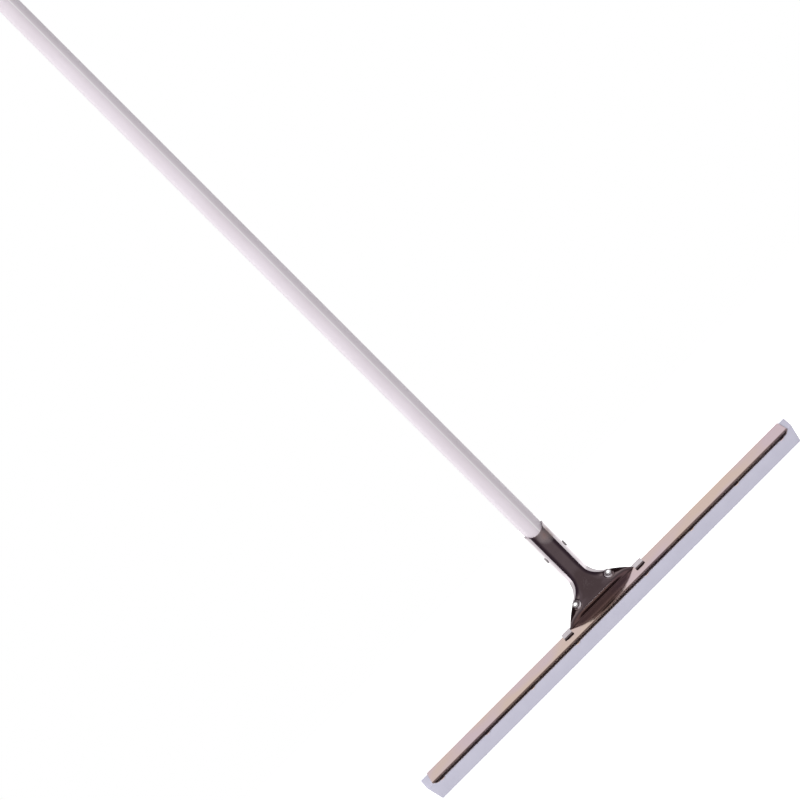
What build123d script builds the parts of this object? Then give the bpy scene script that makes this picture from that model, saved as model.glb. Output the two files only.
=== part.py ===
from build123d import *
import os
from math import cos, sin, radians

# Window cleaning squeegee: an aluminium pole in a pressed-steel socket that holds a wide rubber blade.
# Frame: origin at the centre of the hanging eye, +Z up the pole, +X along the blade, -Y is the front.
# Heights in the head are counted up from the rear top edge of the blade channel, at head_z.

os.makedirs("parts", exist_ok=True)

# ---- driving dimensions, millimetres -------------------------------------------------------------
pole_d = 23.5  # outside diameter of the pole
pole_wall = 1.2
pole_length = 1400.0

eye_r = 4.5  # hanging eye in the end cap
eye_rim_r = 11.0
eye_thickness = 9.0
eye_neck = 11.0  # from the eye's rim to the pole's upper end
eye_rim_round = 1.5
cap_r = 13.6
cap_grip = 30.0  # length of pole inside the cap
cap_roof = 3.0
cap_shoulder_r = 2.5

sheet = 1.4  # steel of the two socket shells
fit = 0.05  # gap between pieces that are clamped together
pole_end_height = 50.0  # lower end of the pole above the channel's rear top edge
socket_height = 104.0  # side corners of the socket's mouth
mouth_scoop_r = 17.2  # both shells dip between those corners
mouth_low_height = 97.8
fan_height = 46.0  # where the round socket starts to flare
fan_neck_r = 24.0  # concave side of the fan
fan_neck_height = 38.6
fan_knee = (24.0, 18.6)  # the concave side ends, half width and height
fan_wing_r = 140.0  # slightly convex wing
fan_foot = (46.6, 0.4)  # wing tip, half width and height

rivet_height = 69.5
rivet_r = 2.0
rivet_head_r = 3.5
rivet_head_height = 1.3

eyelet_place = (24.8, 14.9)  # half spacing and height of the two wing eyelets
eyelet_hole_r = 1.8
eyelet_barrel_r = 2.2
eyelet_flange_r = 3.0
eyelet_flange = 0.6

head_tilt = 25.0  # lean of the blade against the pole, degrees
channel_length = 530.0
channel_width = 20.0
channel_depth = 5.0
channel_sheet = 0.8
channel_corner_r = 1.2
lip_clip = 4.2  # cut-off corners of the channel's lips
slot_start = 6.8  # slots for the ears, counted along the face from its rear edge
slot_length = 3.6
ear_inner = 47.6  # the ears' inner and outer ends, from the middle of the blade
ear_outer = 59.2
ear_reach = 7.0
skirt_depth = 6.0
skirt_lap = 0.5  # the skirt runs up into the flat of the rear shell
hook_gap = 0.3  # between the channel and what wraps it

tooth_count = 4  # on each half of each lip
tooth_first = 51.5
tooth_pitch = 67.5
tooth_half_width = 3.0
tooth_drop = 1.6

strip_length = 549.0
strip_shift = -1.0  # the strip isn't quite in the middle of its channel
strip_gap = 0.3  # free play of the strip in the channel
strip_reach = 25.3  # from the channel's face to the wiping edges
strip_bridge = 7.2  # rubber above the slit
strip_slit = 1.6
strip_edge_r = 0.8
strip_end_lean = 0.12  # the hand-cut ends lean inwards, towards the front and the tips
core_thickness = 1.5
core_height = 10.0
core_length = 526.0

# ---- derived places ------------------------------------------------------------------------------
pole_r = pole_d / 2
socket_r = pole_r + fit + sheet
pole_top_z = -(eye_rim_r + eye_neck)
pole_bottom_z = pole_top_z - pole_length
head_z = pole_bottom_z - pole_end_height
rivet_z = head_z + rivet_height
hook_outer = hook_gap + sheet
tilt = radians(head_tilt)
# local x runs along the channel's face to the front, local y down its lips, local z along the blade
head_plane = Plane(origin=(0, 0, head_z), x_dir=(0, -cos(tilt), -sin(tilt)), z_dir=(1, 0, 0))

# ---- pole ----------------------------------------------------------------------------------------
with BuildPart() as pole_tube:
    with BuildSketch(Plane.XY.offset(pole_bottom_z)):
        Circle(pole_r)
        Circle(pole_r - pole_wall, mode=Mode.SUBTRACT)
    extrude(amount=pole_length)
    with Locations(Location((0, 0, rivet_z), (0, 90, 0))):
        Cylinder(rivet_r + fit, 2 * pole_d, mode=Mode.SUBTRACT)

# ---- end cap with its hanging eye ----------------------------------------------------------------
with BuildPart() as pole_end_cap:
    with BuildSketch(Plane.XZ):
        Circle(eye_rim_r)
        with Locations((0, pole_top_z / 2)):
            Rectangle(2 * eye_rim_r, -pole_top_z)
    extrude(amount=eye_thickness / 2, both=True)
    fillet(pole_end_cap.faces().filter_by(Axis.Y).edges().group_by(Axis.Z)[-1], eye_rim_round)
    with BuildSketch(Plane.XZ):
        with BuildLine():
            grip = Line((0, pole_top_z - cap_grip), (cap_r, pole_top_z - cap_grip))
            side = Line(grip @ 1, (cap_r, pole_top_z + cap_roof - cap_shoulder_r))
            shoulder = CenterArc((cap_r - cap_shoulder_r, (side @ 1).Y), cap_shoulder_r, 0, 90)
            roof = Line(shoulder @ 1, (0, pole_top_z + cap_roof))
            Line(roof @ 1, grip @ 0)
        make_face()
    revolve(axis=Axis.Z)
    with BuildSketch(Plane.XY.offset(pole_top_z - cap_grip)):
        Circle(pole_r + fit)
    extrude(amount=cap_grip + fit, mode=Mode.SUBTRACT)
    with Locations(Location((0, 0, 0), (90, 0, 0))):
        Cylinder(eye_r, 2 * eye_thickness, mode=Mode.SUBTRACT)


# ---- the two pressed shells of the socket --------------------------------------------------------
# Each is a half-round trough that opens into a fan. A station is a half ellipse at a height above
# the channel: (height, half width, depth).
front_stations = [
    (fan_height, socket_r, socket_r),
    (40.0, socket_r, 13.1),
    (33.0, 13.8, 12.4),
    (26.0, 15.6, 10.9),
    (20.0, 18.0, 9.2),
    (15.0, 20.6, 7.8),
    (11.0, 23.6, 6.6),
    (8.0, 33.5, 5.6),
    (5.0, 42.6, 4.8),
]
rear_stations = [
    (fan_height, socket_r, socket_r),
    (40.0, socket_r, 13.0),
    (33.0, 13.6, 11.8),
    (26.0, 14.8, 9.2),
    (20.0, 16.4, 6.6),
    (14.0, 18.4, 4.0),
    (9.0, 20.4, sheet + 0.3),
]


def trough(stations, side, inset):
    """A solid half form through its stations, set in by inset: side is -1 in front and 1 behind."""
    with BuildPart() as form:
        for height, half_width, depth in stations:
            with BuildSketch(Plane.XY.offset(head_z + height)):
                with BuildLine():
                    rim = EllipticalCenterArc(
                        (0, 0),
                        half_width - inset,
                        depth - inset,
                        start_angle=90 + 90 * -side,
                        arc_size=180,
                    )
                    Line(rim @ 1, rim @ 0)
                make_face()
        loft()
    return form.part


def half_pipe(side, radius):
    """The straight half of the round socket, above the fan."""
    with BuildPart() as pipe:
        with BuildSketch(Plane.XY.offset(head_z + fan_height)):
            with BuildLine():
                rim = CenterArc((0, 0), radius, 90 + 90 * -side, 180)
                Line(rim @ 1, rim @ 0)
            make_face()
        extrude(amount=socket_height - fan_height)
    return pipe.part


def fan_plate(side):
    """The flat of the fan, cut to its outline and pressed against the other shell."""
    with BuildPart() as plate:
        with BuildSketch(Plane.XZ.offset(-side * fit)):
            with BuildLine():
                foot = Line((0, head_z + fan_foot[1]), (fan_foot[0], head_z + fan_foot[1]))
                wing = RadiusArc(foot @ 1, (fan_knee[0], head_z + fan_knee[1]), -fan_wing_r)
                neck = RadiusArc(wing @ 1, (socket_r, head_z + fan_neck_height), fan_neck_r)
                top = Line(neck @ 1, (0, head_z + fan_neck_height))
                Line(top @ 1, foot @ 0)
            make_face()
            mirror(about=Plane.YZ)
        extrude(amount=-side * sheet)
    return plate.part


front_form = trough(front_stations, -1, 0)
front_hollow = trough(front_stations[:-1] + [(5.8, 41.6, 4.8)], -1, sheet)
front_return = trough([(5.0, 42.6, 4.8), (fan_foot[1], fan_foot[0] - 0.2, sheet + fit)], -1, 0)
front_return_hollow = trough([(6.6, 40.2, 4.6), (2.2, 43.6, sheet + 0.15)], -1, sheet)
rear_form = trough(rear_stations, 1, 0)
rear_hollow = trough(rear_stations, 1, sheet)

mouth_scoop = Location((0, 0, head_z + mouth_low_height + mouth_scoop_r), (90, 0, 0))
rivet_bore = Location((0, 0, rivet_z), (0, 90, 0))
eyelet_spots = [
    Location((side * eyelet_place[0], 0, head_z + eyelet_place[1]), (90, 0, 0)) for side in (-1, 1)
]

with BuildPart() as front_cavity:
    add(half_pipe(-1, socket_r - sheet))
    add(front_hollow)
    add(front_return_hollow)

with BuildPart() as socket_front_shell:
    add(half_pipe(-1, socket_r))
    add(front_form)
    add(front_return)
    add(fan_plate(-1))
    add(front_cavity.part, mode=Mode.SUBTRACT)
    with Locations(mouth_scoop):
        Cylinder(mouth_scoop_r, 4 * socket_r, mode=Mode.SUBTRACT)
    with Locations(rivet_bore):
        Cylinder(rivet_r + fit, 4 * socket_r, mode=Mode.SUBTRACT)
    with Locations(eyelet_spots):
        Cylinder(eyelet_barrel_r + fit, 4 * sheet, mode=Mode.SUBTRACT)

with BuildPart() as rear_cavity:
    add(half_pipe(1, socket_r - sheet))
    add(rear_hollow)

with BuildPart() as socket_rear_shell:
    add(half_pipe(1, socket_r))
    add(rear_form)
    add(fan_plate(1))
    add(rear_cavity.part, mode=Mode.SUBTRACT)
    with Locations(mouth_scoop):
        Cylinder(mouth_scoop_r, 4 * socket_r, mode=Mode.SUBTRACT)
    with Locations(rivet_bore):
        Cylinder(rivet_r + fit, 4 * socket_r, mode=Mode.SUBTRACT)
    with Locations(eyelet_spots):
        Cylinder(eyelet_barrel_r + fit, 4 * sheet, mode=Mode.SUBTRACT)
    # the skirt stands behind the channel, and its ears fold over the face and into the slots
    with BuildSketch(head_plane):
        with Locations((-hook_gap - sheet / 2, (skirt_depth - skirt_lap) / 2)):
            Rectangle(sheet, skirt_depth + skirt_lap)
    extrude(amount=ear_outer, both=True)
    for ear_start in (ear_inner, -ear_outer):
        with BuildSketch(head_plane.offset(ear_start)):
            with BuildLine():
                back = Line((-hook_outer, skirt_depth), (-hook_outer, 0))
                CenterArc((0, 0), hook_outer, 180, 90)
                Line((0, -hook_outer), (ear_reach, -hook_outer))
                CenterArc((ear_reach, 0), hook_outer, 270, 90)
                Line((ear_reach + hook_outer, 0), (ear_reach + hook_outer, channel_sheet))
                Line((ear_reach + hook_outer, channel_sheet), (ear_reach + hook_gap, channel_sheet))
                Line((ear_reach + hook_gap, channel_sheet), (ear_reach + hook_gap, 0))
                CenterArc((ear_reach, 0), hook_gap, 0, -90)
                Line((ear_reach, -hook_gap), (0, -hook_gap))
                CenterArc((0, 0), hook_gap, 270, -90)
                front = Line((-hook_gap, 0), (-hook_gap, skirt_depth))
                Line(front @ 1, back @ 0)
            make_face()
        extrude(amount=ear_outer - ear_inner)

# ---- fasteners -----------------------------------------------------------------------------------
with BuildPart() as pole_rivet:
    with Locations(rivet_bore):
        Cylinder(rivet_head_r, 2 * (socket_r + rivet_head_height))
    fillet(pole_rivet.edges().filter_by(GeomType.CIRCLE), rivet_head_height / 2)
    with Locations((0, 0, rivet_z)):
        Cylinder(socket_r, 4 * rivet_head_r, mode=Mode.SUBTRACT)
    with Locations(rivet_bore):
        Cylinder(rivet_r, 2 * socket_r + rivet_head_height)

stack = 2 * (sheet + fit)
flange_faces = [
    spot * Location((0, 0, side * (stack + eyelet_flange) / 2)) for spot in eyelet_spots for side in (-1, 1)
]
with BuildPart() as wing_eyelets:
    with Locations(eyelet_spots):
        Cylinder(eyelet_barrel_r, stack)
    with Locations(flange_faces):
        Cylinder(eyelet_flange_r, eyelet_flange)
    with Locations(eyelet_spots):
        Cylinder(eyelet_hole_r, 2 * stack, mode=Mode.SUBTRACT)

# ---- blade channel -------------------------------------------------------------------------------
# the lip plane looks back along the face: local x is the blade's length, local y points up the lips
lip_plane = Plane(origin=head_plane.origin, x_dir=(1, 0, 0), z_dir=head_plane.x_dir)
face_plane = Plane(origin=head_plane.origin, x_dir=(1, 0, 0), z_dir=-head_plane.y_dir)
tooth_places = [
    (side * (tooth_first + tooth_pitch * i), -channel_depth) for side in (-1, 1) for i in range(tooth_count)
]

with BuildPart() as blade_channel:
    with BuildSketch(head_plane) as channel_profile:
        Rectangle(channel_width, channel_depth, align=(Align.MIN, Align.MIN))
        fillet(channel_profile.vertices().group_by(Axis.Y)[0], channel_corner_r)
        with Locations((channel_sheet, channel_sheet)):
            Rectangle(
                channel_width - 2 * channel_sheet,
                channel_depth,
                align=(Align.MIN, Align.MIN),
                mode=Mode.SUBTRACT,
            )
    extrude(amount=channel_length / 2, both=True)
    with BuildSketch(lip_plane):
        with BuildLine():
            Polyline(
                (channel_length / 2, -channel_corner_r),
                (channel_length / 2, -channel_depth),
                (channel_length / 2 - lip_clip, -channel_depth),
                close=True,
            )
        make_face()
        mirror(about=Plane.YZ)
    extrude(amount=channel_width, mode=Mode.SUBTRACT)
    for lip_inside in (0, channel_width - channel_sheet):
        with BuildSketch(lip_plane.offset(lip_inside)):
            with Locations(tooth_places):
                Ellipse(tooth_half_width, tooth_drop)
        extrude(amount=channel_sheet)
    with BuildSketch(face_plane):
        with Locations(*[(side * (ear_inner + ear_outer) / 2, -slot_start) for side in (-1, 1)]):
            Rectangle(ear_outer - ear_inner + 2 * hook_gap, slot_length, align=(Align.CENTER, Align.MAX))
    extrude(amount=-2 * channel_sheet, mode=Mode.SUBTRACT)

# ---- rubber strip and the steel core in its slit -------------------------------------------------
strip_top = channel_sheet + strip_gap
strip_width = channel_width - 2 * strip_top
slit_top = strip_top + strip_bridge

with BuildPart() as rubber_strip:
    with BuildSketch(head_plane.offset(strip_shift)) as strip_profile:
        with Locations((strip_top, strip_top)):
            Rectangle(strip_width, strip_reach - strip_top, align=(Align.MIN, Align.MIN))
        with Locations((channel_width / 2, slit_top)):
            Rectangle(strip_slit, strip_reach, align=(Align.CENTER, Align.MIN), mode=Mode.SUBTRACT)
        fillet(strip_profile.vertices().group_by(Axis.Y)[-1], strip_edge_r)
    extrude(amount=strip_length / 2, both=True)
    for side in (-1, 1):
        end_corner = head_plane.from_local_coords((strip_top, strip_top, strip_shift + side * strip_length / 2))
        end_normal = head_plane.z_dir * side + (head_plane.x_dir + head_plane.y_dir) * strip_end_lean
        split(bisect_by=Plane(origin=end_corner, z_dir=end_normal), keep=Keep.BOTTOM)

with BuildPart() as rubber_core:
    with BuildSketch(head_plane.offset(strip_shift)):
        with Locations((channel_width / 2, slit_top + fit)):
            Rectangle(core_thickness, core_height, align=(Align.CENTER, Align.MIN))
    extrude(amount=core_length / 2, both=True)

# ---- labels and files ----------------------------------------------------------------------------
pole_tube.part.label = "pole_tube"
export_step(pole_tube.part, "parts/pole_tube.step")

pole_end_cap.part.label = "pole_end_cap"
export_step(pole_end_cap.part, "parts/pole_end_cap.step")

socket_front_shell.part.label = "socket_front_shell"
export_step(socket_front_shell.part, "parts/socket_front_shell.step")

socket_rear_shell.part.label = "socket_rear_shell"
export_step(socket_rear_shell.part, "parts/socket_rear_shell.step")

pole_rivet.part.label = "pole_rivet"
export_step(pole_rivet.part, "parts/pole_rivet.step")

wing_eyelets.part.label = "wing_eyelets"
export_step(wing_eyelets.part, "parts/wing_eyelets.step")

blade_channel.part.label = "blade_channel"
export_step(blade_channel.part, "parts/blade_channel.step")

rubber_strip.part.label = "rubber_strip"
export_step(rubber_strip.part, "parts/rubber_strip.step")

rubber_core.part.label = "rubber_core"
export_step(rubber_core.part, "parts/rubber_core.step")
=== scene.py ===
# Window cleaning squeegee: the visible pieces, their finishes and a plain studio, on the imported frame.
# The model hangs by the eye at the pole's upper end. +Z is up the pole, +X along the blade, -Y the front.
# Head sizes are in the head's own section: u runs along the channel's face from its rear edge to the
# front, v runs from the face down the lips, and both are in millimetres.

from math import cos, exp, hypot, log, pi, radians, sin, sqrt

import bmesh
import bpy
from mathutils import Matrix, Vector


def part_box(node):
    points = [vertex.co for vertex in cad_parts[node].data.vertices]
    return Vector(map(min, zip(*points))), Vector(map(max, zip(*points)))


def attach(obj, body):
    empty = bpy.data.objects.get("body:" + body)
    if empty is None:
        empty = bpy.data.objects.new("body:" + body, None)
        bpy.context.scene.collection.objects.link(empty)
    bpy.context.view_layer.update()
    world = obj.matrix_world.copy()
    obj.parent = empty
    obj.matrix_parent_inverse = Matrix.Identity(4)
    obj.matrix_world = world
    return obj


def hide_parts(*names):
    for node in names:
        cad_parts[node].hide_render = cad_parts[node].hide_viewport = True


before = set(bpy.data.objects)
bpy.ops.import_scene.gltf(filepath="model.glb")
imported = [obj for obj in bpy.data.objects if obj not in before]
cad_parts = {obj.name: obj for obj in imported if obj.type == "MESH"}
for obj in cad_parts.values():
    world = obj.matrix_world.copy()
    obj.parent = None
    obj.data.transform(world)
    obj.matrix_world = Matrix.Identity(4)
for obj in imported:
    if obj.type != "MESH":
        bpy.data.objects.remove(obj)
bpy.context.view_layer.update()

bl_info = {
    "name": "Window cleaning squeegee",
    "version": (1, 0, 0),
    "blender": (4, 5, 0),
    "location": "View3D > Sidebar > Squeegee",
    "description": "Builds a long-handled squeegee with a steel head and a rubber blade",
    "category": "Object",
}

MM = 0.001
HEAD_BODY = "pole_and_head"
BLADE_BODY = "blade_rubber"

# ---- sizes read from the frame, millimetres --------------------------------------------------------
POLE_LOW, POLE_HIGH = (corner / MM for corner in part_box("pole_tube"))
POLE_R = (POLE_HIGH.x - POLE_LOW.x) / 2
CHANNEL_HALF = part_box("blade_channel")[1].x / MM
STRIP_LOW, STRIP_HIGH = (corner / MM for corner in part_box("rubber_strip"))
HEAD_Z = POLE_LOW.z - 50.0  # the channel's rear top edge, below the pole's lower end
TILT = radians(25)  # lean of the blade against the pole

# ---- sizes of the head, millimetres ----------------------------------------------------------------
POLE_WALL = 1.2
SHEET = 1.4
FIT = 0.05
EDGE_BREAK = 0.12  # the sheared edges are slightly broken
SOCKET_R = POLE_R + FIT + SHEET
MOUTH_LOW = 97.8
MOUTH_SCOOP_R = 17.2
FAN_TOP = 46.0
NECK_R = 24.0
NECK_TOP = 38.6
KNEE_HEIGHT = 18.6
WING_R = 140.0
WING_CENTRE = (-52.0, -98.9)
RIDGE = (4.6, 4.9)  # height and depth of the fan's lower ridge
RIDGE_SOFTNESS = 0.2
RIDGE_ROLL = (3.4, 0.50)  # the fan rolls over to this slope within this height above the ridge
HEM = (-0.45, 1.0)  # where the turned-in hem ends
EYELET = (24.8, 14.9)
EYELET_BORE_R = 2.25
PAD_R = 3.1  # flat around each eyelet
PAD_SLOPE = 1.3
PAD_SOFTNESS = 0.2

FACE_WIDTH = 20.0
LIP_DEPTH = 5.0
CHANNEL_SHEET = 0.8
BEND_R = 1.2
LIP_CLIP = 4.2
SLOT = (7.8, 10.2)
SLOT_X = (47.3, 59.5)
TOOTH_FIRST = 51.5
TOOTH_PITCH = 67.5
TOOTH_HALF = 3.0
TOOTH_DROP = 1.6
TOOTH_DISH = 0.28  # the teeth lean in towards the strip

STRIP_TOP = 1.1
STRIP_REACH = 25.3
SLIT_TOP = 8.3
SLIT_HALF = 0.8
STRIP_SHIFT = -1.0
END_LEAN = 0.12
STRIP_ROUND = 0.7
SLOT_SHADE_DEPTH = (1.5, 1.9)  # the painted shade on the strip's clamped top is full above, and gone below
SLOT_SHADE_END = 6.0  # and it stops this far inside the channel's ends


def head_point(x, u, v):
    """A place in the head's section, in metres."""
    y = -cos(TILT) * u + sin(TILT) * v
    z = -sin(TILT) * u - cos(TILT) * v
    return Vector((x, y, HEAD_Z + z)) * MM


def smoothstep(low, high, value):
    t = min(1.0, max(0.0, (value - low) / (high - low)))
    return t * t * (3 - 2 * t)


# ---- meshes ----------------------------------------------------------------------------------------
def new_piece(bm, name, body, replaced, material, sharp=35, thickness=0.0):
    """Turns a bmesh into a piece that rides on its body and stands for its CAD node.

    A thickness, in millimetres, turns an open surface into sheet metal with broken edges.
    """
    mesh = bpy.data.meshes.new(name)
    for face in bm.faces:
        face.smooth = True
    bm.to_mesh(mesh)
    bm.free()
    piece = bpy.data.objects.new(name, mesh)
    bpy.context.scene.collection.objects.link(piece)
    mesh.materials.append(material)
    if thickness:
        add_modifier(piece, "SOLIDIFY", thickness=thickness * MM, offset=-1.0, use_even_offset=False)
        add_modifier(
            piece, "BEVEL", width=EDGE_BREAK * MM, segments=2, limit_method="ANGLE", angle_limit=radians(60)
        )
        apply_modifiers(piece)
    piece.data.set_sharp_from_angle(angle=radians(sharp))
    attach(piece, body)
    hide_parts(replaced)
    return piece


def add_modifier(piece, kind, **settings):
    modifier = piece.modifiers.new(kind.title(), kind)
    for key, value in settings.items():
        setattr(modifier, key, value)
    return modifier


def apply_modifiers(piece):
    """Bakes the piece's modifiers into its mesh."""
    graph = bpy.context.evaluated_depsgraph_get()
    old = piece.data
    mesh = bpy.data.meshes.new_from_object(piece.evaluated_get(graph))
    piece.modifiers.clear()
    piece.data = mesh
    bpy.data.meshes.remove(old)


def lathe(bm, outline, segments):
    """Spins a closed outline of (radius, height) points about Z, in millimetres."""
    verts = [bm.verts.new((r * MM, 0, z * MM)) for r, z in outline]
    edges = [bm.edges.new((a, b)) for a, b in zip(verts, verts[1:] + verts[:1])]
    bmesh.ops.spin(
        bm, geom=verts + edges, axis=(0, 0, 1), cent=(0, 0, 0), angle=2 * pi, steps=segments, use_merge=True
    )
    bmesh.ops.recalc_face_normals(bm, faces=bm.faces)


def loft(bm, rows, closed=False):
    """Bridges rows of points into one surface; closed rows make a bar with capped ends."""
    loops = []
    for row in rows:
        verts = [bm.verts.new(point) for point in row]
        after = verts[1:] + verts[:1] if closed else verts[1:]
        loops.append([bm.edges.new(pair) for pair in zip(verts, after)])
        if len(loops) > 1:
            bmesh.ops.bridge_loops(bm, edges=loops[-2] + loops[-1])
    if closed:
        for loop in (loops[0], loops[-1]):
            bmesh.ops.contextual_create(bm, geom=loop)
    bmesh.ops.recalc_face_normals(bm, faces=bm.faces)


def cut_round_hole(bm, x, z, radius):
    """Cuts a round hole, looking along Y, and draws the ring of vertices around it onto the circle."""
    near = []
    for face in bm.faces:
        middle = face.calc_center_median() / MM
        if hypot(middle.x - x, middle.z - z) < radius:
            near.append(face)
    ring = {vert for face in near for vert in face.verts if not vert.is_boundary}
    bmesh.ops.delete(bm, geom=near, context="FACES")
    for vert in ring:
        if vert.is_valid:
            place = vert.co / MM
            reach = hypot(place.x - x, place.z - z)
            vert.co.x = (x + (place.x - x) * radius / reach) * MM
            vert.co.z = (z + (place.z - z) * radius / reach) * MM


def cad_copy(node, name, material, body=HEAD_BODY, sharp=30):
    """A merged, smoothly shaded copy of a CAD node."""
    bm = bmesh.new()
    bm.from_mesh(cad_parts[node].data)
    bmesh.ops.remove_doubles(bm, verts=bm.verts, dist=0.002 * MM)
    bmesh.ops.dissolve_limit(bm, angle_limit=radians(0.5), verts=bm.verts, edges=bm.edges)
    return new_piece(bm, name, body, node, material, sharp)


# ---- materials -------------------------------------------------------------------------------------
def colour(text):
    """Turns an sRGB hex colour into linear RGBA."""
    parts = [int(text[i : i + 2], 16) / 255 for i in (1, 3, 5)]
    return [c / 12.92 if c <= 0.04045 else ((c + 0.055) / 1.055) ** 2.4 for c in parts] + [1.0]


def add_node(tree, kind, inputs=None, **settings):
    """Adds a node: inputs are values, or sockets to link, by socket name or number."""
    node = tree.nodes.new(kind)
    for key, value in settings.items():
        setattr(node, key, value)
    for key, value in (inputs or {}).items():
        if isinstance(value, bpy.types.NodeSocket):
            tree.links.new(value, node.inputs[key])
        else:
            node.inputs[key].default_value = value
    return node


def new_material(name):
    material = bpy.data.materials.new(name)
    material.use_nodes = True
    return material, material.node_tree, material.node_tree.nodes["Principled BSDF"]


def satin_anodised_aluminium(settings):
    """Drawn tube, etched and clear anodised: soft, wide highlights with faint lines along the pole, and one
    painted highlight line.
    """
    material, tree, shader = new_material("satin_anodised_aluminium")
    place = add_node(tree, "ShaderNodeTexCoord").outputs["Object"]
    # drawing lines are about 0.1 mm apart; they are grouped into 3 mm streaks so that they show
    stretched = add_node(tree, "ShaderNodeMapping", {"Vector": place, "Scale": (330, 330, 3)})
    lines = add_node(
        tree, "ShaderNodeTexNoise", {"Vector": stretched.outputs[0], "Scale": 1.0, "Detail": 3.0}
    )
    clouds = add_node(tree, "ShaderNodeTexNoise", {"Vector": place, "Scale": 14.0, "Detail": 2.0})
    tone = add_node(
        tree,
        "ShaderNodeMix",
        {0: clouds.outputs[0], 6: colour(settings.pole_hex), 7: colour(settings.pole_shade_hex)},
        data_type="RGBA",
    )
    # painted highlight: one faint bright line is painted along the pole; it does not move with the light
    axes = add_node(tree, "ShaderNodeSeparateXYZ", {0: place})
    forward = add_node(tree, "ShaderNodeMath", {0: axes.outputs["Y"], 1: -1.0}, operation="MULTIPLY")
    angle = add_node(
        tree, "ShaderNodeMath", {0: axes.outputs["X"], 1: forward.outputs[0]}, operation="ARCTAN2"
    )
    off_line = add_node(tree, "ShaderNodeMath", {0: angle.outputs[0], 1: radians(18)}, operation="SUBTRACT")
    distance = add_node(tree, "ShaderNodeMath", {0: off_line.outputs[0]}, operation="ABSOLUTE")
    line = add_node(
        tree,
        "ShaderNodeMapRange",
        {"Value": distance.outputs[0], "From Min": radians(4), "From Max": radians(1), "To Max": 0.7},
    )
    tone = add_node(
        tree,
        "ShaderNodeMix",
        {0: line.outputs[0], 6: tone.outputs[2], 7: (1.0, 1.0, 1.0, 1.0)},
        data_type="RGBA",
    )
    rough = add_node(
        tree, "ShaderNodeMapRange", {"Value": lines.outputs[0], "To Min": 0.50, "To Max": 0.56}
    )
    bump = add_node(
        tree, "ShaderNodeBump", {"Height": lines.outputs[0], "Strength": 0.1, "Distance": 0.00002}
    )
    around = add_node(tree, "ShaderNodeTangent", direction_type="RADIAL", axis="Z")
    tree.links.new(around.outputs[0], shader.inputs["Tangent"])
    shader.inputs["Anisotropic"].default_value = 0.6
    shader.inputs["Anisotropic Rotation"].default_value = 0.25
    shader.inputs["Metallic"].default_value = 0.2  # well below bare metal, matched
    tree.links.new(tone.outputs[2], shader.inputs["Base Color"])
    tree.links.new(rough.outputs[0], shader.inputs["Roughness"])
    tree.links.new(bump.outputs[0], shader.inputs["Normal"])
    return material


def bright_nickel_plate(settings):
    """Deep-drawn steel sheet, nickel plated: a slightly smeared mirror with a brown scorch at the mouth."""
    material, tree, shader = new_material("bright_nickel_plate")
    place = add_node(tree, "ShaderNodeTexCoord").outputs["Object"]
    # handling smears, 8 mm across, and the soft waves that drawing leaves in the sheet, 12 mm apart
    smears = add_node(tree, "ShaderNodeTexNoise", {"Vector": place, "Scale": 120.0, "Detail": 4.0})
    waves = add_node(tree, "ShaderNodeTexNoise", {"Vector": place, "Scale": 80.0, "Detail": 1.0})
    rough = add_node(
        tree, "ShaderNodeMapRange", {"Value": smears.outputs[0], "To Min": 0.05, "To Max": 0.14}
    )
    bump = add_node(
        tree, "ShaderNodeBump", {"Height": waves.outputs[0], "Strength": 0.2, "Distance": 0.0003}
    )
    tone = add_node(
        tree,
        "ShaderNodeMix",
        {0: smears.outputs[0], 6: colour(settings.steel_hex), 7: colour(settings.steel_shade_hex)},
        data_type="RGBA",
    )
    # the scorch is an 11 mm patch right of the middle, just under the mouth
    spot = Vector((5.5, -12.0, HEAD_Z + 92.0)) * MM
    offset = add_node(tree, "ShaderNodeVectorMath", {0: place, 1: spot}, operation="DISTANCE")
    patch = add_node(
        tree,
        "ShaderNodeMapRange",
        {"Value": offset.outputs["Value"], "From Min": 0.011, "From Max": 0.002, "To Max": 1.3},
    )
    patchy = add_node(
        tree, "ShaderNodeMath", {0: patch.outputs[0], 1: smears.outputs[0]}, operation="MULTIPLY"
    )
    scorched = add_node(
        tree,
        "ShaderNodeMix",
        {0: patchy.outputs[0], 6: tone.outputs[2], 7: colour(settings.scorch_hex)},
        data_type="RGBA",
    )
    bare = add_node(tree, "ShaderNodeMapRange", {"Value": patchy.outputs[0], "To Min": 1.0, "To Max": 0.1})
    tree.links.new(bare.outputs[0], shader.inputs["Metallic"])
    tree.links.new(scorched.outputs[2], shader.inputs["Base Color"])
    tree.links.new(rough.outputs[0], shader.inputs["Roughness"])
    tree.links.new(bump.outputs[0], shader.inputs["Normal"])
    return material


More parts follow.
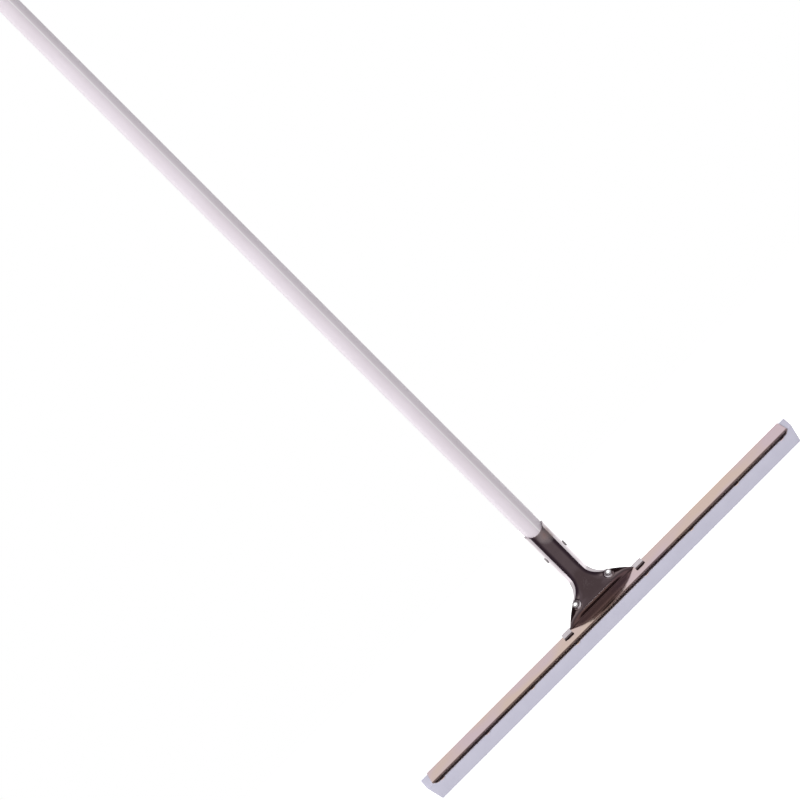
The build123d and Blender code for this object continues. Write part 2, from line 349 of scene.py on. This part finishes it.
def rolled_bright_steel(settings):
    """Cold-rolled strip, bright finished: a warm mirror with long soft waves and rolling streaks."""
    material, tree, shader = new_material("rolled_bright_steel")
    place = add_node(tree, "ShaderNodeTexCoord").outputs["Object"]
    along = add_node(tree, "ShaderNodeMapping", {"Vector": place, "Scale": (12, 900, 900)})
    streaks = add_node(
        tree, "ShaderNodeTexNoise", {"Vector": along.outputs[0], "Scale": 1.0, "Detail": 3.0}
    )
    wide = add_node(tree, "ShaderNodeMapping", {"Vector": place, "Scale": (26, 60, 60)})
    waves = add_node(tree, "ShaderNodeTexNoise", {"Vector": wide.outputs[0], "Scale": 1.0, "Detail": 2.0})
    rough = add_node(
        tree, "ShaderNodeMapRange", {"Value": streaks.outputs[0], "To Min": 0.07, "To Max": 0.18}
    )
    # faint heat colours drift along the strip every 60 mm or so
    drift = add_node(
        tree, "ShaderNodeMapping", {"Vector": place, "Scale": (16, 30, 30), "Location": (3, 0, 0)}
    )
    heat = add_node(tree, "ShaderNodeTexNoise", {"Vector": drift.outputs[0], "Scale": 1.0, "Detail": 1.0})
    clear = add_node(
        tree, "ShaderNodeMapRange", {"Value": heat.outputs[0], "From Min": 0.38, "From Max": 0.62}
    )
    tone = add_node(
        tree,
        "ShaderNodeMix",
        {0: clear.outputs[0], 6: colour(settings.channel_hex), 7: colour(settings.channel_shade_hex)},
        data_type="RGBA",
    )
    bump = add_node(
        tree, "ShaderNodeBump", {"Height": waves.outputs[0], "Strength": 0.1, "Distance": 0.0004}
    )
    shader.inputs["Metallic"].default_value = 1.0
    tree.links.new(tone.outputs[2], shader.inputs["Base Color"])
    tree.links.new(rough.outputs[0], shader.inputs["Roughness"])
    tree.links.new(bump.outputs[0], shader.inputs["Normal"])
    return material


def cellular_rubber(settings):
    """White cellular rubber with its moulded skin: matt, soft and finely pored, with painted shade on the
    clamped top.
    """
    material, tree, shader = new_material("cellular_rubber")
    place = add_node(tree, "ShaderNodeTexCoord").outputs["Object"]
    # skin pores are 0.1 mm; they are drawn 0.5 mm across so that they show
    pores = add_node(tree, "ShaderNodeTexVoronoi", {"Vector": place, "Scale": 2000.0})
    clouds = add_node(tree, "ShaderNodeTexNoise", {"Vector": place, "Scale": 45.0, "Detail": 4.0})
    tone = add_node(
        tree,
        "ShaderNodeMix",
        {0: clouds.outputs[0], 6: colour(settings.rubber_hex), 7: colour(settings.rubber_shade_hex)},
        data_type="RGBA",
    )
    bump = add_node(
        tree, "ShaderNodeBump", {"Height": pores.outputs["Distance"], "Strength": 0.3, "Distance": 0.00012}
    )
    # painted shade: the clamped top is painted dark so that the channel's slots look dark; it shows when
    # drawn out
    down = head_point(0, 0, 1) - head_point(0, 0, 0)
    lowered = add_node(
        tree, "ShaderNodeVectorMath", {0: place, 1: head_point(0, 0, 0)}, operation="SUBTRACT"
    )
    depth = add_node(
        tree, "ShaderNodeVectorMath", {0: lowered.outputs[0], 1: down.normalized()}, operation="DOT_PRODUCT"
    )
    # painted shade under the slots, full on the clamped top and fading below it
    slot_shade = add_node(
        tree,
        "ShaderNodeMapRange",
        {"Value": depth.outputs["Value"], "From Min": SLOT_SHADE_DEPTH[1] * MM, "From Max": SLOT_SHADE_DEPTH[0] * MM},
    )
    sideways = add_node(tree, "ShaderNodeSeparateXYZ", {0: place}).outputs["X"]
    off_centre = add_node(tree, "ShaderNodeMath", {0: sideways}, operation="ABSOLUTE")
    slot_shade_half = (CHANNEL_HALF - SLOT_SHADE_END) * MM
    clamped = add_node(
        tree, "ShaderNodeMath", {0: off_centre.outputs[0], 1: slot_shade_half}, operation="LESS_THAN"
    )
    slot_shade_mask = add_node(
        tree, "ShaderNodeMath", {0: slot_shade.outputs[0], 1: clamped.outputs[0]}, operation="MULTIPLY"
    )
    slot_shaded = add_node(
        tree,
        "ShaderNodeMix",
        {0: slot_shade_mask.outputs[0], 6: tone.outputs[2], 7: colour(settings.slot_shade_hex)},
        data_type="RGBA",
    )
    shader.inputs["Roughness"].default_value = 0.62
    shader.inputs["Specular IOR Level"].default_value = 0.35
    tree.links.new(slot_shaded.outputs[2], shader.inputs["Base Color"])
    tree.links.new(bump.outputs[0], shader.inputs["Normal"])
    return material


def moulded_polypropylene(settings):
    """Injection-moulded cap: dark, half matt, with the fine grain of a spark-eroded mould."""
    material, tree, shader = new_material("moulded_polypropylene")
    place = add_node(tree, "ShaderNodeTexCoord").outputs["Object"]
    grain = add_node(tree, "ShaderNodeTexNoise", {"Vector": place, "Scale": 1600.0, "Detail": 2.0})
    rough = add_node(
        tree, "ShaderNodeMapRange", {"Value": grain.outputs[0], "To Min": 0.38, "To Max": 0.58}
    )
    bump = add_node(
        tree, "ShaderNodeBump", {"Height": grain.outputs[0], "Strength": 0.4, "Distance": 0.00008}
    )
    shader.inputs["Base Color"].default_value = colour(settings.cap_hex)
    tree.links.new(rough.outputs[0], shader.inputs["Roughness"])
    tree.links.new(bump.outputs[0], shader.inputs["Normal"])
    return material


def zinc_plated_steel(settings):
    """Zinc-plated rivets: greyer and duller than the nickel, mottled by the bath."""
    material, tree, shader = new_material("zinc_plated_steel")
    place = add_node(tree, "ShaderNodeTexCoord").outputs["Object"]
    mottle = add_node(tree, "ShaderNodeTexNoise", {"Vector": place, "Scale": 700.0, "Detail": 3.0})
    rough = add_node(
        tree, "ShaderNodeMapRange", {"Value": mottle.outputs[0], "To Min": 0.4, "To Max": 0.55}
    )
    shader.inputs["Metallic"].default_value = 0.35  # well below bare metal, matched to dull heads
    shader.inputs["Base Color"].default_value = colour(settings.rivet_hex)
    tree.links.new(rough.outputs[0], shader.inputs["Roughness"])
    return material


# ---- pole and cap ----------------------------------------------------------------------------------
def build_pole(settings):
    chamfer = 0.3
    outer, inner = POLE_R, POLE_R - POLE_WALL
    low, high = POLE_LOW.z, POLE_HIGH.z
    bm = bmesh.new()
    lathe(
        bm,
        [
            (outer, low + chamfer),
            (outer, high - chamfer),
            (outer - chamfer, high),
            (inner, high),
            (inner, low),
            (outer - chamfer, low),
        ],
        96,
    )
    new_piece(bm, "pole", HEAD_BODY, "pole_tube", satin_anodised_aluminium(settings))


def build_cap(settings):
    cad_copy("pole_end_cap", "end_cap", moulded_polypropylene(settings))


# ---- socket shells ---------------------------------------------------------------------------------
def fan_half_width(height):
    """Half the width of the socket and fan at a height above the channel."""
    if height >= NECK_TOP:
        return SOCKET_R
    if height >= KNEE_HEIGHT:
        return SOCKET_R + NECK_R - sqrt(NECK_R**2 - (NECK_TOP - height) ** 2)
    return WING_CENTRE[0] + sqrt(WING_R**2 - (height - WING_CENTRE[1]) ** 2)


def soft_min(a, b, softness):
    """The smaller of two lengths, rounded where they cross."""
    low = min(a, b)
    return low - softness * log(exp((low - a) / softness) + exp((low - b) / softness))


def front_depth(height):
    """How far the front shell stands forward of the parting plane."""
    roll_height, roll_slope = RIDGE_ROLL
    above = max(0.0, min(1.0, (height - RIDGE[0]) / roll_height))
    upper = RIDGE[1] + (SOCKET_R - RIDGE[1]) * smoothstep(RIDGE[0], FAN_TOP, height)
    upper += roll_slope * roll_height / 2 * (1 - (1 - above) ** 2)
    turned_in = HEM[1] + (RIDGE[1] - HEM[1]) * (height - HEM[0]) / (RIDGE[0] - HEM[0])
    return upper if height > 3 * RIDGE[0] else soft_min(upper, turned_in, RIDGE_SOFTNESS)


def trough_section(height, columns):
    """Points across the front shell at a height, from its left edge to its right edge."""
    half_width, depth = fan_half_width(height), front_depth(height)
    flat = FIT + SHEET * (1 - smoothstep(24, 40, height))  # the shell's edge turns into a flat flange
    opening = 1 - smoothstep(14, FAN_TOP, height)
    squareness, steepness = 2 + opening + 4 * (1 - smoothstep(RIDGE[0], 14, height)), 2 - opening
    points = []
    for i in range(columns + 1):
        x = half_width * sin(pi * (i / columns - 0.5))
        inside = max(0.0, 1 - (abs(x) / half_width) ** squareness)
        y = flat + max(0.0, depth - flat) * inside ** (1 / steepness)
        past_pad = max(0.0, hypot(abs(x) - EYELET[0], height - EYELET[1]) - PAD_R)
        points.append((x, -soft_min(y, SHEET + FIT + PAD_SLOPE * past_pad, PAD_SOFTNESS)))
    return points


def build_front_shell(nickel):
    columns = 120
    heights = [FAN_TOP - 0.6 * i for i in range(66)]
    heights += [RIDGE[0] + 0.2 * i for i in range(9, -6, -1)]
    heights += [3.0, 2.4, 1.8, 1.2, 0.6, 0.1, HEM[0]]
    rows = []
    pipe_rows = 40
    for i in range(pipe_rows):
        row = []
        for x, y in trough_section(FAN_TOP, columns):
            rim = MOUTH_LOW + MOUTH_SCOOP_R - sqrt(MOUTH_SCOOP_R**2 - x * x)
            height = rim + (FAN_TOP - rim) * i / pipe_rows
            row.append(Vector((x, y, HEAD_Z + height)) * MM)
        rows.append(row)
    for height in heights:
        rows.append([Vector((x, y, HEAD_Z + height)) * MM for x, y in trough_section(height, columns)])
    bm = bmesh.new()
    loft(bm, rows)
    if sum(face.normal.y for face in bm.faces) > 0:
        bmesh.ops.reverse_faces(bm, faces=bm.faces)
    for side in (-1, 1):
        cut_round_hole(bm, side * EYELET[0], HEAD_Z + EYELET[1], EYELET_BORE_R)
    new_piece(bm, "socket_front", HEAD_BODY, "socket_front_shell", nickel, 50, SHEET)


def build_rear_shell(nickel):
    cad_copy("socket_rear_shell", "socket_rear", nickel)


def build_fasteners(settings):
    zinc = zinc_plated_steel(settings)
    cad_copy("pole_rivet", "cross_rivet", zinc)
    cad_copy("wing_eyelets", "eyelets", zinc)


# ---- channel ---------------------------------------------------------------------------------------
def channel_profile():
    """The channel's outer line, from the rear lip's edge over the face to the front lip's edge."""
    lip = [(0.0, LIP_DEPTH), (0.0, LIP_DEPTH - 0.8), (0.0, LIP_DEPTH - 1.8)]
    lip += [(0.0, BEND_R + 0.15), (0.0, BEND_R)]
    bend = [(BEND_R - BEND_R * cos(a), BEND_R - BEND_R * sin(a)) for a in (pi / 8, pi / 4, 3 * pi / 8)]
    rear = lip + bend + [(BEND_R, 0.0), (BEND_R + 0.15, 0.0)]
    face = [(4.0, 0.0), (SLOT[0], 0.0), (SLOT[1], 0.0), (14.5, 0.0)]
    front = [(FACE_WIDTH - u, v) for u, v in reversed(rear)]
    return rear + face + front


def channel_columns():
    """Places along the channel that get a row of points: closer together at teeth and slots."""
    teeth = [side * (TOOTH_FIRST + TOOTH_PITCH * i) for side in (-1, 1) for i in range(4)]
    places = {round(side * x, 3) for side in (-1, 1) for x in SLOT_X}
    places |= {round(-CHANNEL_HALF + CHANNEL_HALF / 40 * i, 3) for i in range(81)}
    for tooth in teeth:
        places = {x for x in places if abs(x - tooth) > TOOTH_HALF + 0.5 or abs(x) in SLOT_X}
        places |= {round(tooth + 0.5 * i, 3) for i in range(-7, 8)}
    return sorted(places), teeth


def build_channel(settings):
    columns, teeth = channel_columns()
    rows = []
    for x in columns:
        nearest = min(abs(x - tooth) for tooth in teeth)
        tooth = sqrt(max(0.0, 1 - (nearest / TOOTH_HALF) ** 2))
        row = []
        for u, v in channel_profile():
            on_lip = max(0.0, (v - BEND_R) / (LIP_DEPTH - BEND_R))
            half = CHANNEL_HALF - LIP_CLIP * on_lip
            dropped = v + TOOTH_DROP * tooth * on_lip**3
            dished = TOOTH_DISH * tooth * on_lip**3 * (1 if u < FACE_WIDTH / 2 else -1)
            row.append(head_point(max(-half, min(half, x)), u + dished, dropped))
        rows.append(row)
    bm = bmesh.new()
    loft(bm, rows)
    up = -(head_point(0, 0, 1) - head_point(0, 0, 0))
    if sum(face.normal.dot(up) * face.calc_area() for face in bm.faces) < 0:
        bmesh.ops.reverse_faces(bm, faces=bm.faces)
    slot_faces = []
    for face in bm.faces:
        middle = face.calc_center_median() / MM
        u = -(middle.y * cos(TILT) + (middle.z - HEAD_Z) * sin(TILT))
        if SLOT[0] < u < SLOT[1] and SLOT_X[0] < abs(middle.x) < SLOT_X[1]:
            slot_faces.append(face)
    bmesh.ops.delete(bm, geom=slot_faces, context="FACES")
    bmesh.ops.remove_doubles(bm, verts=bm.verts, dist=0.001 * MM)
    bright = rolled_bright_steel(settings)
    new_piece(bm, "channel", HEAD_BODY, "blade_channel", bright, 50, CHANNEL_SHEET)


# ---- rubber ----------------------------------------------------------------------------------------
def strip_profile():
    """Outline of the folded strip: two lips with a narrow slit between them."""
    near, far = STRIP_TOP, FACE_WIDTH - STRIP_TOP
    middle = FACE_WIDTH / 2
    return [
        (near, STRIP_TOP),
        (near, STRIP_REACH),
        (middle - SLIT_HALF, STRIP_REACH),
        (middle - SLIT_HALF, SLIT_TOP),
        (middle + SLIT_HALF, SLIT_TOP),
        (middle + SLIT_HALF, STRIP_REACH),
        (far, STRIP_REACH),
        (far, STRIP_TOP),
    ]


def build_rubber(settings):
    steps = 90
    half = (STRIP_HIGH.x - STRIP_LOW.x) / 2
    rows = []
    for i in range(steps + 1):
        along = 2 * i / steps - 1
        row = []
        for u, v in strip_profile():
            reach = half - END_LEAN * (u - STRIP_TOP) - END_LEAN * (v - STRIP_TOP)
            row.append(head_point(STRIP_SHIFT + along * reach, u, v))
        rows.append(row)
    bm = bmesh.new()
    loft(bm, rows, closed=True)
    sharp = [edge for edge in bm.edges if edge.calc_face_angle(0) > radians(50)]
    bmesh.ops.bevel(
        bm,
        geom=sharp,
        offset=STRIP_ROUND * MM,
        segments=3,
        profile=0.5,
        affect="EDGES",
        material=-1,
        clamp_overlap=True,
    )
    new_piece(bm, "rubber", BLADE_BODY, "rubber_strip", cellular_rubber(settings), 45)
    steel = bpy.data.materials["zinc_plated_steel"]
    cad_copy("rubber_core", "core", steel, BLADE_BODY)


# ---- studio ----------------------------------------------------------------------------------------
# softboxes: side in metres, places counted from the head, and the height that they aim at
SOFTBOX = 2.6
LIGHT_AIM = 0.3
KEY_PLACE = (-3.0, -5.4, 2.5)
FILL_PLACE = (-5.2, -3.2, 3.8)
BACK_PLACE = (1.8, 5.6, 2.6)
# where each band of the mirrored room starts and where it is full, on the mirrored ray's direction
ROOM_TABLE = (-0.22, -0.5)
ROOM_HIGH = (-0.05, 0.15)
ROOM_CEILING = (0.5, 0.55)
ROOM_ABOVE = (0.7, 0.78)
ROOM_SIDES = (0.6, 0.95)
ROOM_LOW = (-0.76, -0.82)
CARD_TOP = (-0.745, -0.765)
CARD_BOTTOM = (-0.825, -0.805)
ROOM_PAPER = (-0.95, -0.985)
ROOM_FAR = (0.6, 0.95)
ROOM_REAR = (0.0, 0.12)
FLOOR_WIDTH = 12.0
FLOOR_DEPTH = 9.0
FLOOR_FRONT = 0.1  # the floor starts this far in front of the pole's axis
FLOOR_GLOW = 0.9


def add_area_light(name, place, power):
    """A softbox aimed at the head; its place is counted from the head, in metres."""
    data = bpy.data.lights.new(name, "AREA")
    data.shape = "RECTANGLE"
    data.size = data.size_y = SOFTBOX
    data.energy = power
    light = bpy.data.objects.new(name, data)
    bpy.context.scene.collection.objects.link(light)
    light.location = (place[0], place[1], HEAD_Z * MM + place[2])
    aim = Vector((0, 0, HEAD_Z * MM + LIGHT_AIM)) - light.location
    light.rotation_euler = aim.to_track_quat("-Z", "Y").to_euler()
    light.visible_camera = False
    light.visible_glossy = False


def build_world(studio):
    """A room that only the metals mirror: white behind, and in front the listed bands of tone."""
    world = bpy.data.worlds.new("studio")
    bpy.context.scene.world = world
    world.use_nodes = True
    tree = world.node_tree
    tree.nodes.clear()
    way = add_node(tree, "ShaderNodeTexCoord").outputs["Generated"]
    axes = add_node(tree, "ShaderNodeSeparateXYZ", {0: way})

    def fade(value, start, full):
        return add_node(
            tree,
            "ShaderNodeMapRange",
            {"Value": value, "From Min": start, "From Max": full},
            interpolation_type="SMOOTHSTEP",
        ).outputs[0]

    def mix(factor, first, second):
        node = add_node(tree, "ShaderNodeMix", {0: factor, 6: first, 7: second}, data_type="RGBA")
        return node.outputs[2]

    sideways = add_node(tree, "ShaderNodeMath", {0: axes.outputs["X"]}, operation="ABSOLUTE").outputs[0]
    rise, back = axes.outputs["Z"], axes.outputs["Y"]
    front = mix(fade(rise, *ROOM_TABLE), colour(studio.dark_hex), colour(studio.dark_fan_hex))
    front = mix(fade(rise, *ROOM_HIGH), front, colour(studio.dark_high_hex))
    front = mix(fade(rise, *ROOM_CEILING), front, colour(studio.ceiling_hex))
    front = mix(fade(rise, *ROOM_ABOVE), front, colour(studio.dark_high_hex))
    front = mix(fade(sideways, *ROOM_SIDES), front, colour(studio.dark_side_hex))
    front = mix(fade(rise, *ROOM_LOW), front, colour(studio.dark_low_hex))
    below, above = fade(rise, *CARD_TOP), fade(rise, *CARD_BOTTOM)
    card = add_node(tree, "ShaderNodeMath", {0: below, 1: above}, operation="MULTIPLY").outputs[0]
    front = mix(card, front, (studio.card, studio.card, studio.card, 1.0))
    front = mix(fade(rise, *ROOM_PAPER), front, colour(studio.paper_hex))
    rear = mix(fade(back, *ROOM_FAR), colour(studio.backdrop_hex), colour(studio.backdrop_far_hex))
    room = mix(fade(back, *ROOM_REAR), front, rear)
    light_path = add_node(tree, "ShaderNodeLightPath")
    ambient = (studio.ambient, studio.ambient, studio.ambient, 1.0)
    shown = mix(light_path.outputs["Is Glossy Ray"], ambient, room)
    shown = mix(light_path.outputs["Is Camera Ray"], shown, (1.0, 1.0, 1.0, 1.0))
    background = add_node(tree, "ShaderNodeBackground", {0: shown, 1: 1.0})
    add_node(tree, "ShaderNodeOutputWorld", {0: background.outputs[0]})


def build_floor(studio):
    """A pale floor well below the hanging squeegee, behind its front."""
    bm = bmesh.new()
    bmesh.ops.create_grid(bm, x_segments=1, y_segments=1, size=0.5)
    bmesh.ops.scale(bm, verts=bm.verts, vec=(FLOOR_WIDTH, FLOOR_DEPTH, 1))
    middle = (0, FLOOR_DEPTH / 2 - FLOOR_FRONT, HEAD_Z * MM - studio.floor_drop)
    bmesh.ops.translate(bm, verts=bm.verts, vec=middle)
    mesh = bpy.data.meshes.new("floor")
    bm.to_mesh(mesh)
    bm.free()
    floor = bpy.data.objects.new("floor", mesh)
    bpy.context.scene.collection.objects.link(floor)
    material, _, shader = new_material("pale_studio_floor")
    shader.inputs["Base Color"].default_value = colour("#F4F4F4")
    shader.inputs["Roughness"].default_value = 0.9
    shader.inputs["Emission Color"].default_value = (1, 1, 1, 1)
    shader.inputs["Emission Strength"].default_value = FLOOR_GLOW
    mesh.materials.append(material)


def build_camera(studio):
    data = bpy.data.cameras.new("camera")
    data.sensor_width = 36.0
    data.lens = studio.lens
    camera = bpy.data.objects.new("camera", data)
    bpy.context.scene.collection.objects.link(camera)
    camera.location = (studio.camera_side, -studio.camera_distance, HEAD_Z * MM + studio.camera_height)
    right, up = Vector((1, 0, -1)).normalized(), Vector((1, 0, 1)).normalized()
    back = right.cross(up)
    camera.rotation_euler = Matrix((right, up, back)).transposed().to_euler()
    bpy.context.scene.camera = camera


# ---- settings --------------------------------------------------------------------------------------
def hex_property(name, description, default):
    return bpy.props.StringProperty(name=name, description=description, default=default)


class SqueegeeFinishes(bpy.types.PropertyGroup):
    pole_hex: hex_property("Pole", "Anodised pole, sRGB hex", "#E8E0E8")
    pole_shade_hex: hex_property("Pole shade", "Darker clouds of the anodising", "#DED5DC")
    steel_hex: hex_property("Socket", "Nickel plate, sRGB hex", "#D2CBD0")
    steel_shade_hex: hex_property("Socket shade", "Smears on the nickel plate", "#BDB3B7")
    # painted shade: the dark colour on the strip's clamped top that makes the channel's slots look dark
    slot_shade_hex: hex_property("Slot paint", "Dark paint on the strip's clamped top", "#1C1412")
    scorch_hex: hex_property("Scorch", "Brown mark at the socket's mouth", "#7A4E3A")
    channel_hex: hex_property("Channel", "Bright strip, sRGB hex", "#CAB6BC")
    channel_shade_hex: hex_property("Channel heat", "Heat colours in the bright strip", "#CFB9AE")
    rubber_hex: hex_property("Rubber", "Blade rubber, sRGB hex", "#CDCBDB")
    rubber_shade_hex: hex_property("Rubber shade", "Clouds in the rubber", "#C4C2D3")
    cap_hex: hex_property("Cap", "Plastic end cap, sRGB hex", "#2A2A2C")
    rivet_hex: hex_property("Rivets", "Zinc plate, sRGB hex", "#BEBABC")


class SqueegeeStudio(bpy.types.PropertyGroup):
    lens: bpy.props.FloatProperty(
        name="Lens", description="Focal length", default=63.0, min=1.0, subtype="DISTANCE_CAMERA"
    )
    camera_distance: bpy.props.FloatProperty(
        name="Camera distance", description="From the pole's axis", default=1.498, unit="LENGTH"
    )
    camera_height: bpy.props.FloatProperty(
        name="Camera height", description="Above the channel", default=0.3020, unit="LENGTH"
    )
    camera_side: bpy.props.FloatProperty(
        name="Camera side", description="Sideways from the pole's axis", default=-0.0028, unit="LENGTH"
    )
    floor_drop: bpy.props.FloatProperty(
        name="Floor drop", description="Floor below the blade", default=1.0, unit="LENGTH"
    )
    key_power: bpy.props.FloatProperty(
        name="Key light", description="Softbox at the front left", default=385.0, unit="POWER"
    )
    fill_power: bpy.props.FloatProperty(
        name="Fill light", description="Softbox at the far left", default=15.0, unit="POWER"
    )
    back_power: bpy.props.FloatProperty(
        name="Back light", description="Softbox behind the squeegee", default=90.0, unit="POWER"
    )
    backdrop_hex: hex_property("Backdrop", "Room behind the squeegee, sRGB hex", "#FFFFFF")
    dark_hex: hex_property("Dark side", "Room in front of the squeegee", "#6C6163")
    dark_high_hex: hex_property("Dark side, high", "Room in front, above eye level", "#948886")
    dark_side_hex: hex_property("Dark side, far", "Room at either side of the front", "#3A2E36")
    dark_fan_hex: hex_property("Dark side, table", "Room in front, below eye level", "#5E5253")
    dark_low_hex: hex_property("Dark side, low", "Floor in front of the squeegee", "#2A2326")
    card: bpy.props.FloatProperty(name="Card", description="Brightness of the lit table edge", default=2.0)
    paper_hex: hex_property("Paper", "Straight below", "#A89E9E")
    backdrop_far_hex: hex_property("Backdrop, far", "Straight behind the squeegee", "#A8A4A8")
    ceiling_hex: hex_property("Ceiling", "Overhead, in front", "#221617")
    ambient: bpy.props.FloatProperty(name="Ambient", description="Soft light from all around", default=0.38)


def finishes():
    return bpy.context.scene.squeegee_finishes


def require_nodes(*names):
    """Stops an operator whose CAD nodes are not in the frame."""
    missing = [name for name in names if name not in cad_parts]
    if missing:
        raise RuntimeError("the frame lacks " + ", ".join(missing))


def require_material(name, operator):
    """Stops an operator whose material another operator makes."""
    if name not in bpy.data.materials:
        raise RuntimeError(f"run {operator} first: it makes {name}")


# ---- operators -------------------------------------------------------------------------------------
class SQUEEGEE_OT_pole(bpy.types.Operator):
    """Build the pole and its end cap"""

    bl_idname = "squeegee.pole"
    bl_label = "Pole and end cap"

    def execute(self, context):
        require_nodes("pole_tube", "pole_end_cap")
        build_pole(finishes())
        build_cap(finishes())
        return {"FINISHED"}


class SQUEEGEE_OT_socket(bpy.types.Operator):
    """Build the two pressed shells of the socket"""

    bl_idname = "squeegee.socket"
    bl_label = "Socket shells"

    def execute(self, context):
        require_nodes("socket_front_shell", "socket_rear_shell")
        nickel = bright_nickel_plate(finishes())
        build_front_shell(nickel)
        build_rear_shell(nickel)
        return {"FINISHED"}


class SQUEEGEE_OT_fasteners(bpy.types.Operator):
    """Build the cross rivet and the two eyelets"""

    bl_idname = "squeegee.fasteners"
    bl_label = "Rivet and eyelets"

    def execute(self, context):
        require_nodes("pole_rivet", "wing_eyelets")
        build_fasteners(finishes())
        return {"FINISHED"}


class SQUEEGEE_OT_channel(bpy.types.Operator):
    """Build the blade channel with its teeth and slots"""

    bl_idname = "squeegee.channel"
    bl_label = "Blade channel"

    def execute(self, context):
        require_nodes("blade_channel")
        build_channel(finishes())
        return {"FINISHED"}


class SQUEEGEE_OT_rubber(bpy.types.Operator):
    """Build the rubber strip and its core"""

    bl_idname = "squeegee.rubber"
    bl_label = "Rubber strip"

    def execute(self, context):
        require_nodes("rubber_strip", "rubber_core")
        require_material("zinc_plated_steel", SQUEEGEE_OT_fasteners.bl_idname)
        build_rubber(finishes())
        return {"FINISHED"}


class SQUEEGEE_OT_stage(bpy.types.Operator):
    """Build the floor, the lights and the camera"""

    bl_idname = "squeegee.stage"
    bl_label = "Studio"

    def execute(self, context):
        studio = context.scene.squeegee_studio
        if min(studio.lens, studio.camera_distance, studio.floor_drop) <= 0:
            raise RuntimeError("the lens, the camera distance and the floor drop must be above zero")
        build_world(studio)
        build_floor(studio)
        build_camera(studio)
        add_area_light("key", KEY_PLACE, studio.key_power)
        add_area_light("fill", FILL_PLACE, studio.fill_power)
        add_area_light("back", BACK_PLACE, studio.back_power)
        context.scene.view_settings.view_transform = "Standard"
        return {"FINISHED"}


class SQUEEGEE_PT_panel(bpy.types.Panel):
    """Lists the squeegee's builders"""

    bl_label = "Squeegee"
    bl_space_type = "VIEW_3D"
    bl_region_type = "UI"
    bl_category = "Squeegee"

    def draw(self, context):
        for operator in OPERATORS:
            self.layout.operator(operator.bl_idname)
        for group in (context.scene.squeegee_finishes, context.scene.squeegee_studio):
            for name in group.__annotations__:
                self.layout.prop(group, name)


OPERATORS = (
    SQUEEGEE_OT_pole,
    SQUEEGEE_OT_socket,
    SQUEEGEE_OT_fasteners,
    SQUEEGEE_OT_channel,
    SQUEEGEE_OT_rubber,
    SQUEEGEE_OT_stage,
)
CLASSES = (SqueegeeFinishes, SqueegeeStudio, *OPERATORS, SQUEEGEE_PT_panel)


def register():
    for item in CLASSES:
        bpy.utils.register_class(item)
    bpy.types.Scene.squeegee_finishes = bpy.props.PointerProperty(type=SqueegeeFinishes)
    bpy.types.Scene.squeegee_studio = bpy.props.PointerProperty(type=SqueegeeStudio)


def unregister():
    del bpy.types.Scene.squeegee_studio
    del bpy.types.Scene.squeegee_finishes
    for item in reversed(CLASSES):
        bpy.utils.unregister_class(item)


def main():
    register()
    bpy.ops.squeegee.pole()
    bpy.ops.squeegee.socket()
    bpy.ops.squeegee.fasteners()
    bpy.ops.squeegee.channel()
    bpy.ops.squeegee.rubber()
    bpy.ops.squeegee.stage()


if __name__ == "__main__":
    main()
